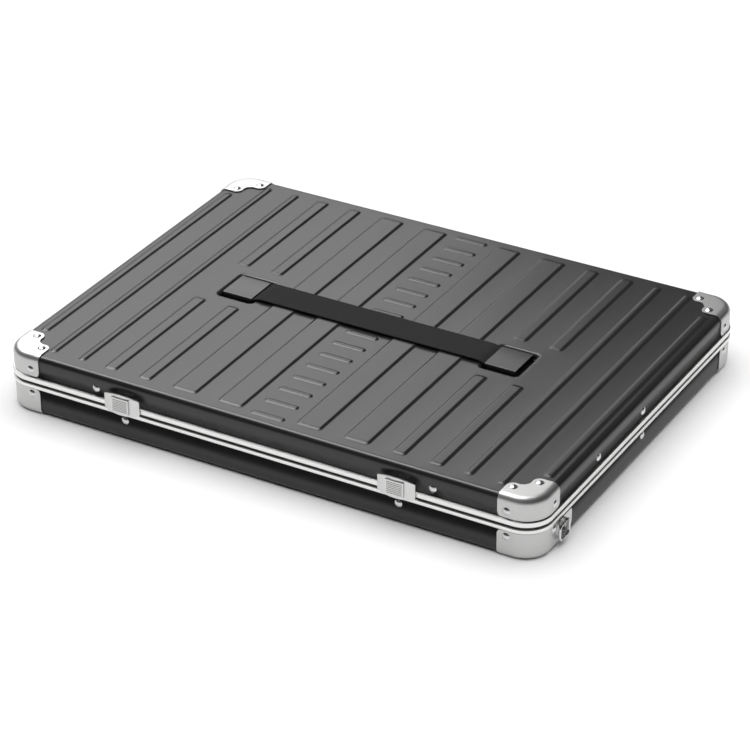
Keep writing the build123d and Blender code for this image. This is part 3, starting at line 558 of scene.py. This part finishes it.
def corner_cap(panel_z, foot_z):
    """A cap in corner coordinates, both axes running from the frame's corner along a wall.
    Columns run from one leg's end round the corner to the other; rows climb from the foot,
    over the roll, and across the panel to the lobes and the scallop between them."""
    up = 1 if panel_z > foot_z else -1
    top_z = panel_z + up * CAP_SHEET
    edge = WALL_INSET - CAP_SHEET
    flat = edge + CAP_ROLL
    corner = PLAN[2]
    step = CAP_FAR - CAP_SCALLOP
    rise = CAP_SCALLOP - CAP_NEAR
    lean = math.degrees(math.atan2(step, rise))
    hollow = math.hypot(step, rise) - CAP_LOBE
    lobe_steps, bend_steps = 12, 16
    first = arc((CAP_NEAR, CAP_FAR), CAP_LOBE, 90, -90 - lean, lobe_steps)
    middle = arc((CAP_SCALLOP,) * 2, hollow, 180 - lean, 90 + 2 * lean, bend_steps)
    last = arc((CAP_FAR, CAP_NEAR), CAP_LOBE, 90 + lean, -90 - lean, lobe_steps)
    lobes = np.concatenate([first, middle[1:-1], last])
    run = np.linspace(CAP_REACH, corner, lobe_steps + 1)
    bend = arc((corner,) * 2, corner - flat, 180, 90, bend_steps)
    inner = np.concatenate(
        [
            np.stack([np.full_like(run, flat), run], 1),
            bend[1:-1],
            np.stack([run[::-1], np.full_like(run, flat)], 1),
        ]
    )
    angle = np.radians(180 + np.linspace(0, 90, bend_steps + 1))[1:-1]
    ends = np.ones(lobe_steps + 1)
    out_x = np.concatenate([-ends, np.cos(angle), 0 * ends])
    out_y = np.concatenate([0 * ends, np.sin(angle), -ends])
    out = np.stack([out_x, out_y], 1)
    leg = CAP_REACH - run
    along = np.concatenate([leg, np.full(len(angle), CAP_REACH), leg[::-1]])
    near = np.clip(CAP_FOOT - along, 0, CAP_FOOT)
    lifted = CAP_FOOT - np.sqrt(CAP_FOOT**2 - near**2)
    rows = []
    low = foot_z + up * lifted
    for share in np.linspace(0, 1, CAP_WALL_ROWS):
        rows.append(lift(inner + out * CAP_ROLL, low + share * (top_z - up * CAP_ROLL - low)))
    for turn in np.linspace(0, np.pi / 2, CAP_ROLL_ROWS)[1:]:
        height = top_z - up * CAP_ROLL * (1 - math.sin(turn))
        rows.append(lift(inner + out * CAP_ROLL * math.cos(turn), height))
    for share in np.linspace(0, 1, CAP_TOP_ROWS)[1:]:
        rows.append(lift(inner + share * (lobes - inner), top_z))
    return np.array(rows)


def ease_edges(made, width):
    """Takes the sharpness off the edges, as tumbling or plating does."""
    ease = made.modifiers.new("eased edges", "BEVEL")
    ease.width = width * MM
    ease.segments = 2
    ease.limit_method = "ANGLE"
    ease.angle_limit = math.radians(CRISP)
    ease.harden_normals = True


for body, panel_z in (("base", BASE_PANEL_Z), ("lid", LID_PANEL_Z)):
    foot_z = CAP_FOOT_Z[body]
    cap_rows = corner_cap(panel_z, foot_z)
    for depth, flip_y in (("front", -1), ("back", 1)):
        for side, flip_x in (("left", -1), ("right", 1)):
            placed = cap_rows.copy()
            placed[..., 0] = flip_x * (PLAN[0] - cap_rows[..., 0])
            placed[..., 1] = flip_y * (PLAN[1] - cap_rows[..., 1])
            form = Form()
            form.grid(placed, flip=(flip_x * flip_y < 0) == (panel_z > foot_z))
            made = form.piece(
                f"{body}_corner_{depth}_{side}",
                body,
                cap_finish,
                [f"{body}_cap_{depth}_{side}"],
                "cap_steel",
                sharp=50,
            )
            thicken(made, CAP_SHEET)
            ease_edges(made, 0.2)

# ---------------------------------------------------------------------------
# Rivets. Polished steel, domed heads outside and flat tails inside, through the caps, the
# tray walls with the frames' flanges, and the fittings.
# ---------------------------------------------------------------------------

rivet_finish = bright_metal("polished rivet", (0.66, 0.66, 0.655), 0.27, 1500.0)
for node in (
    "lid_cap_rivets",
    "base_cap_rivets",
    "base_corner_rivets",
    "lid_wall_rivets",
    "base_wall_rivets",
    "hinge_lid_rivets",
    "hinge_base_rivets",
    "latch_rivets",
    "ring_bracket_rivets",
):
    dress(node, rivet_finish)

# ---------------------------------------------------------------------------
# Latches. A bowed steel lever hangs on a pin between two ears of a riveted bracket, and
# its hooked foot catches under a keeper on the base; a leaf spring holds it shut.
# ---------------------------------------------------------------------------

lever_finish = bright_metal("latch nickel", (0.66, 0.66, 0.655), 0.38, 2400.0)
fitting_finish = bright_metal("fitting steel", (0.70, 0.70, 0.69), 0.28, 1800.0)


COPY_WELD = 0.002
FLAT_WITHIN = 0.5  # degrees


def softened(node, name, body, finish, width):
    """A piece of the frame copied, joined by distance and eased along its sharp edges."""
    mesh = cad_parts[node].data.copy()
    mesh.name = name
    work = bmesh.new()
    work.from_mesh(mesh)
    bmesh.ops.remove_doubles(work, verts=work.verts, dist=COPY_WELD * MM)
    bmesh.ops.dissolve_limit(
        work, angle_limit=math.radians(FLAT_WITHIN), verts=work.verts, edges=work.edges
    )
    work.to_mesh(mesh)
    work.free()
    if mesh.has_custom_normals:
        mesh.attributes.remove(mesh.attributes["custom_normal"])
    mesh.shade_smooth()
    mesh.set_sharp_from_angle(angle=math.radians(CRISP))
    mesh.materials.clear()
    mesh.materials.append(finish.material)
    made = bpy.data.objects.new(name, mesh)
    bpy.context.collection.objects.link(made)
    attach(made, body)
    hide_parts(node)
    ease_edges(made, width)


for side in ("left", "right"):
    softened(
        f"latch_lever_{side}", f"lever_{side}", f"latch_{side}", lever_finish, 0.16
    )
    for part in ("bracket", "pin", "spring", "keeper"):
        dress(f"latch_{part}_{side}", fitting_finish)

# ---------------------------------------------------------------------------
# Hinges. Two steel stop hinges on the back, five knuckles each round a plain pin, their
# leaves riveted to the walls of the two trays.
# ---------------------------------------------------------------------------

for side in ("left", "right"):
    for body in ("base", "lid"):
        softened(
            f"hinge_{body}_leaf_{side}",
            f"hinge_{body}_{side}",
            body,
            fitting_finish,
            0.2,
        )
    dress(f"hinge_pin_{side}", fitting_finish)

# ---------------------------------------------------------------------------
# Carry handle. Flat nylon webbing held at each end under a folded plate, which two
# shouldered studs, closed over a backing plate inside, hold down in its pocket.
# ---------------------------------------------------------------------------

PLATE_X = 101.0
PLATE_LENGTH = 23.0
PLATE_HALF = 13.4
PLATE_TOP = 45.4
PLATE_FOOT = 39.55
PLATE_SHEET = 0.8
PLATE_BEND = 1.6
PLATE_BEND_ROWS = 7

plate_finish = anodised("dark plate", (0.006, 0.006, 0.006), (0.010, 0.010, 0.010), 0.30)


def folded_plate(middle):
    """A plate folded down along its front and back edges: its skin, a flat top between two
    quarter circles of PLATE_BEND, and the same drawn in by the sheet, carried along X."""
    turn = np.linspace(0, np.pi / 2, PLATE_BEND_ROWS)
    bend = np.stack([np.cos(turn), np.sin(turn)], 1)
    corner = (PLATE_HALF - PLATE_BEND, PLATE_TOP - PLATE_BEND)

    def skin(inset):
        foot = [(PLATE_HALF - inset, PLATE_FOOT)]
        side = np.concatenate([foot, corner + (PLATE_BEND - inset) * bend])
        return np.concatenate([side, side[::-1] * (-1, 1)])

    outer, inner = skin(0.0), skin(PLATE_SHEET)
    section = np.concatenate([outer, inner[::-1], outer[:1]])
    ends = middle + np.array([-0.5, 0.5]) * PLATE_LENGTH
    form = Form()
    form.grid([np.column_stack([np.full(len(section), x), section]) for x in ends])
    for x, flip in ((ends[0], True), (ends[1], False)):
        edge = [np.column_stack([np.full(len(loop), x), loop]) for loop in (outer, inner)]
        form.grid(edge, flip=flip)
    return form


for side, sign in (("left", -1), ("right", 1)):
    plate_form = folded_plate(sign * PLATE_X)
    stands_for = [f"handle_plate_{side}"]
    made = plate_form.piece(
        f"grip_plate_{side}", "lid", plate_finish, stands_for, "dark_plate", sharp=CRISP
    )
    ease_edges(made, 0.15)
    dress(f"handle_backing_{side}", fitting_finish)
dress("handle_studs", fitting_finish)

STRAP_HALF = 12.3
STRAP_THICK = 1.3
STRAP_END = 108.5
STRAP_STEP = 0.35
STRAP_PLACES = (0, 82.5, 85.5, 96.0, 98.5, 109.0)
STRAP_LEVELS = (45.65, 45.65, 45.35, 40.7, 40.35, 40.35)
STRAP_EASE = 9  # points over which the path's bends are evened out
WEAVE_PITCH = 1.5
WEAVE_DEPTH = 0.05
FLOATS_PER_ROW = 1.6


def webbing_finish(name, dark, light, along_x):
    """Woven nylon: short floats in rows across the strap, a sine along it times a finer one
    across it, dull and a little fuzzy."""
    finish = Finish(name, {"Roughness": 0.85, "Specular IOR Level": 0.25})
    spot = finish.node("ShaderNodeSeparateXYZ", {}, {"Vector": finish.place()})
    parts = spot.socket.node.outputs
    along, across = (parts[0], parts[1]) if along_x else (parts[1], parts[0])
    turn = 2 * math.pi / (WEAVE_PITCH * MM)
    floats = finish.wave(across, turn * FLOATS_PER_ROW)
    rows = finish.wave(along, turn)
    fuzz = finish.grain(3000.0)
    height = floats * rows * 0.5 + 0.5
    # The weave's height also sets the colour, darker in its dips and lighter on the floats:
    # painted shade, with the random fuzz mixed in.
    finish.set("Base Color", finish.blend(height * 0.6 + fuzz * 0.4, dark, light))
    finish.bump(height + fuzz * 0.5, 0.00006)
    return finish


strap_finish = webbing_finish(
    "black webbing", (0.005, 0.005, 0.005), (0.018, 0.018, 0.019), along_x=True
)


def strap_section(half, thick, points):
    """Closed section of a strap: flat faces between rounded selvedges, anticlockwise."""
    edge = Outline(half, thick / 2, thick / 2 - 0.02, steps=4, pitch=half / points)
    return edge.loop()


def handle_webbing():
    """The strap's section carried along its path: level over the ribs, down a ramp at each
    end into the pocket, with a fine ripple where each weft row crosses."""
    section = strap_section(STRAP_HALF, STRAP_THICK, 10)
    x = np.arange(-STRAP_END, STRAP_END + 0.01, STRAP_STEP)
    level = np.interp(np.abs(x), STRAP_PLACES, STRAP_LEVELS)
    smooth = np.ones(STRAP_EASE) / STRAP_EASE
    level = np.convolve(np.pad(level, STRAP_EASE // 2, mode="edge"), smooth, mode="valid")
    slope = np.gradient(level, x)
    lean = np.stack([-slope, np.ones_like(slope)], 1) / np.hypot(slope, 1)[:, None]
    ripple = 1 + WEAVE_DEPTH * np.sin(2 * np.pi * x / WEAVE_PITCH)
    rise = section[None, :, 1] * ripple[:, None]
    points = np.empty((len(x), len(section), 3))
    points[..., 0] = x[:, None] + rise * lean[:, :1]
    points[..., 1] = section[None, :, 0]
    points[..., 2] = level[:, None] + rise * lean[:, 1:]
    form = Form()
    form.grid(points, closed=True)
    form.cover(points[0], flip=True)
    form.cover(points[-1])
    return form


handle_webbing().piece(
    "carry_strap", "lid", strap_finish, ["handle_strap"], "webbing", sharp=60
)

# ---------------------------------------------------------------------------
# Side rings. Bent steel wire hanging in small folded brackets near the front corners, each
# bracket held to the base's wall by one rivet.
# ---------------------------------------------------------------------------

for side in ("left", "right"):
    dress(f"side_ring_{side}", rivet_finish)
    softened(
        f"ring_bracket_{side}",
        f"ring_hanger_{side}",
        "base",
        fitting_finish,
        0.15,
    )

# ---------------------------------------------------------------------------
# Linings. Foam covered in charcoal cloth and glued in: the base's is a tray with a raised
# border round the laptop's bed, the lid's a quilted pad; an elastic strap holds the laptop.
# ---------------------------------------------------------------------------

CLOTH_PITCH = 0.9
QUILT_PITCH = 26.0
QUILT_DEPTH = 1.1
QUILT_FADE = 8.0


def cloth_finish(name, dark, light):
    """Close-woven lining cloth: a fine square weave, one sine each way, with a soft nap."""
    finish = Finish(name, {"Roughness": 0.92, "Sheen Weight": 0.4, "Sheen Roughness": 0.6})
    spot = finish.node("ShaderNodeSeparateXYZ", {}, {"Vector": finish.place()})
    parts = spot.socket.node.outputs
    turn = 2 * math.pi / (CLOTH_PITCH * MM)
    warp = finish.wave(parts[0], turn)
    weft = finish.wave(parts[1], turn)
    nap = finish.grain(1200.0)
    height = warp * weft * 0.25 + 0.5
    # The weave's height also sets the colour, darker where warp and weft dip and lighter where
    # they rise: painted shade, with the random nap mixed in.
    finish.set("Base Color", finish.blend(height * 0.5 + nap * 0.5, dark, light))
    finish.bump(height + nap, 0.00005)
    return finish


lining_finish = cloth_finish("charcoal lining", (0.025, 0.026, 0.028), (0.07, 0.072, 0.076))


def quilted(spots, edge):
    """Sunk stitching in a diamond net: zero on the puffs, -QUILT_DEPTH in the stitch lines,
    fading out towards the pad's edge."""
    along = np.sin(np.pi * (spots[:, 0] + spots[:, 1]) / QUILT_PITCH)
    across = np.sin(np.pi * (spots[:, 0] - spots[:, 1]) / QUILT_PITCH)
    puff = np.abs(along * across) ** 0.35
    return -QUILT_DEPTH * (1 - puff) * np.clip(-edge.distance(spots) / QUILT_FADE, 0, 1)


PAD_INSET = 6.4
PAD_STEPS = 10
PAD_ROWS = 6
BASE_PAD_FOOT = (8.0, 2.8)  # inset and height of its flat underside's edge
BASE_PAD_TOP = 22.3
BORDER_ROUND = 2.5
BORDER_INNER = 14.4
BED_Z = 6.4
BED_ROUND = 2.0
BED_SHORE = 1.0


def base_lining():
    """Padded tray: its section, with rounded rims and foot, carried round the case's plan;
    the bed inside is a flat field."""
    turn = np.linspace(0, np.pi / 2, PAD_ROWS)
    shoulder = BASE_PAD_TOP - BORDER_ROUND
    foot_inset, foot_z = BASE_PAD_FOOT
    rows = [BASE_PAD_FOOT, (PAD_INSET + 0.2, foot_z + 0.1)]
    rows += [(PAD_INSET, foot_z + 1.2), (PAD_INSET, shoulder)]
    rows += [
        (PAD_INSET + BORDER_ROUND * (1 - math.cos(t)), shoulder + BORDER_ROUND * math.sin(t))
        for t in turn[1:]
    ]
    rows += [((PAD_INSET + BORDER_INNER) / 2, BASE_PAD_TOP)]
    rows += [
        (
            BORDER_INNER - BORDER_ROUND * (1 - math.sin(t)),
            BASE_PAD_TOP - BORDER_ROUND * (1 - math.cos(t)),
        )
        for t in turn
    ]
    rows += [
        (BORDER_INNER + BED_ROUND * (1 - math.cos(t)), BED_Z + BED_ROUND * (1 - math.sin(t)))
        for t in turn
    ]
    bed_inset = BORDER_INNER + BED_ROUND
    bed = case_plan(bed_inset + BED_SHORE, PAD_STEPS)
    form = Form()
    form.grid([lift(case_plan(inset, PAD_STEPS).loop(), z) for inset, z in rows], closed=True)
    bed_loops = [case_plan(bed_inset, PAD_STEPS).loop(), bed.loop()]
    form.grid([lift(loop, BED_Z) for loop in bed_loops], closed=True)
    spots, faces = field((bed, 0.0), [], spacing=8.0, margin=3.0)
    form.patch(lift(spots, BED_Z), faces.tolist())
    form.cover(lift(case_plan(foot_inset, PAD_STEPS).loop(), foot_z), flip=True)
    return form


LID_PAD_TOP = 41.5
LID_PAD_SHOULDER = 36.0
LID_PAD_ROUND = 2.0
POCKET_ROOM = (3.0, 36.1)  # room round the pockets, and the height that it reaches down to


def lid_lining():
    """Quilted pad: a rounded edge, a top that clears the handle pockets, and the quilting
    sunk into its lower face."""
    turn = np.linspace(0, np.pi / 2, PAD_ROWS)
    rows = [(PAD_INSET, LID_PAD_TOP), (PAD_INSET, LID_PAD_SHOULDER)]
    rows += [
        (
            PAD_INSET + LID_PAD_ROUND * (1 - math.cos(t)),
            LID_PAD_SHOULDER - LID_PAD_ROUND * math.sin(t),
        )
        for t in turn[1:]
    ]
    loops = [lift(case_plan(inset, PAD_STEPS).loop(), z) for inset, z in rows]
    form = Form()
    form.grid(loops, closed=True, flip=True)
    face = case_plan(PAD_INSET + LID_PAD_ROUND, PAD_STEPS)
    spots, faces = field((face, 0.0), [], spacing=3.0, margin=1.6)
    face_z = LID_PAD_SHOULDER - LID_PAD_ROUND
    form.patch(lift(spots, face_z - quilted(spots, face)), faces[:, ::-1].tolist())
    room, room_z = POCKET_ROOM
    holes = [(pocket, room) for pocket in pockets]
    spots, faces = field((case_plan(PAD_INSET, PAD_STEPS), 0.0), holes, spacing=20.0, margin=4.0)
    form.patch(lift(spots, LID_PAD_TOP), faces.tolist())
    for pocket in pockets:
        loops = [lift(pocket.loop(room), z) for z in (LID_PAD_TOP, room_z)]
        form.grid(loops, closed=True)
        form.cover(loops[-1])
    return form


for pad_form, body, fill in ((base_lining(), "base", 0.9), (lid_lining(), "lid", 0.7)):
    made = pad_form.piece(
        f"{body}_pad", body, lining_finish, [f"{body}_liner"], "liner_cloth", sharp=60
    )


BED_STRAP_HALF = 15.0
BED_STRAP_THICK = 1.2
BED_STRAP_END = 135.2
BED_STRAP_STEP = 0.5
BED_STRAP_Z = 7.2


def retaining_strap():
    """Flat webbing across the laptop's bed, its section carried along Y, with the same
    ripple where each weft row crosses."""
    section = strap_section(BED_STRAP_HALF, BED_STRAP_THICK, 8)
    y = np.arange(-BED_STRAP_END, BED_STRAP_END + 0.01, BED_STRAP_STEP)
    ripple = 1 + WEAVE_DEPTH * np.sin(2 * np.pi * y / WEAVE_PITCH)
    points = np.empty((len(y), len(section), 3))
    points[..., 0] = section[None, :, 0]
    points[..., 1] = y[:, None]
    points[..., 2] = BED_STRAP_Z + section[None, :, 1] * ripple[:, None]
    form = Form()
    form.grid(points, closed=True, flip=True)
    form.cover(points[0])
    form.cover(points[-1], flip=True)
    return form


bed_strap_finish = webbing_finish(
    "bed webbing", (0.012, 0.012, 0.012), (0.035, 0.035, 0.036), along_x=False
)
retaining_strap().piece(
    "bed_strap", "base", bed_strap_finish, ["laptop_strap"], "webbing", sharp=60
)

# ---------------------------------------------------------------------------
# Studio. A plain white floor under one wide soft ceiling light. The dark sheet and the
# metal show banks behind and overhead that light nothing. A long lens looks down on the
# front right corner.
# ---------------------------------------------------------------------------

FLOOR_HALF = 6.0
floor_mesh = bpy.data.meshes.new("floor")
floor_mesh.from_pydata(
    [
        (-FLOOR_HALF, -FLOOR_HALF, 0),
        (FLOOR_HALF, -FLOOR_HALF, 0),
        (FLOOR_HALF, FLOOR_HALF, 0),
        (-FLOOR_HALF, FLOOR_HALF, 0),
    ],
    [],
    [(0, 1, 2, 3)],
)
floor_finish = Finish("studio floor", {"Base Color": (0.9, 0.9, 0.9, 1), "Roughness": 0.9})
floor_finish.set("Specular IOR Level", 0.1)
floor_mesh.materials.append(floor_finish.material)
floor = bpy.data.objects.new("floor", floor_mesh)
bpy.context.collection.objects.link(floor)

world = bpy.data.worlds.new("studio")
world.use_nodes = True
world.node_tree.nodes["Background"].inputs["Color"].default_value = (1, 1, 1, 1)
world.node_tree.nodes["Background"].inputs["Strength"].default_value = 0.05
bpy.context.scene.world = world


def bank(name, place, aim, size, radiance, mirrored=True, lighting=True):
    """A soft box: a flat light of even radiance, aimed at a point. One that isn't mirrored
    only lights what it falls on, and one that isn't lighting is only seen in reflections."""
    light = bpy.data.lights.new(name, "AREA")
    light.shape = "RECTANGLE"
    light.size, light.size_y = size
    light.energy = radiance * math.pi * size[0] * size[1]
    made = bpy.data.objects.new(name, light)
    made.location = place
    made.rotation_euler = (Vector(aim) - Vector(place)).to_track_quat("-Z", "Y").to_euler()
    made.visible_glossy = mirrored
    made.visible_diffuse = lighting
    bpy.context.collection.objects.link(made)


bank("ceiling", (0, 0, 3.0), (0, 0, 0), (5.0, 5.0), 2.5, mirrored=False)
bank("edge bank", (-0.85, 0.2, 1.75), (0, 0, 0), (0.9, 1.8), 8.5, lighting=False)
bank("back left bank", (-1.2, 1.4, 1.2), (0, 0, 0.3), (1.15, 0.9), 3.1, lighting=False)
bank("back right bank", (0.5, 1.5, 1.0), (0, 0, 0.2), (0.6, 0.7), 0.3, lighting=False)
bank("low back bank", (-1.6, 1.6, 0.2), (0, 0, 0.2), (1.8, 0.4), 0.8, lighting=False)

AZIMUTH = math.radians(29.884)
ELEVATION = math.radians(30.119)
ROLL = math.radians(-0.313)
TARGET = Vector((-3.397, 4.975, 0.8)) * MM
DISTANCE = 2.0499
LENS = 144.9

back = Vector(
    (
        math.sin(AZIMUTH) * math.cos(ELEVATION),
        -math.cos(AZIMUTH) * math.cos(ELEVATION),
        math.sin(ELEVATION),
    )
)
level = Vector((math.cos(AZIMUTH), math.sin(AZIMUTH), 0))
upright = back.cross(level)
right = level * math.cos(ROLL) + upright * math.sin(ROLL)
above = upright * math.cos(ROLL) - level * math.sin(ROLL)
camera = bpy.data.objects.new("camera", bpy.data.cameras.new("camera"))
camera.data.lens = LENS
camera.data.sensor_width = 36
camera.data.sensor_fit = "HORIZONTAL"
turn = Matrix((right, above, back)).transposed().to_4x4()
camera.matrix_world = Matrix.Translation(TARGET + back * DISTANCE) @ turn
bpy.context.collection.objects.link(camera)
bpy.context.scene.camera = camera
bpy.context.scene.view_settings.view_transform = "Standard"
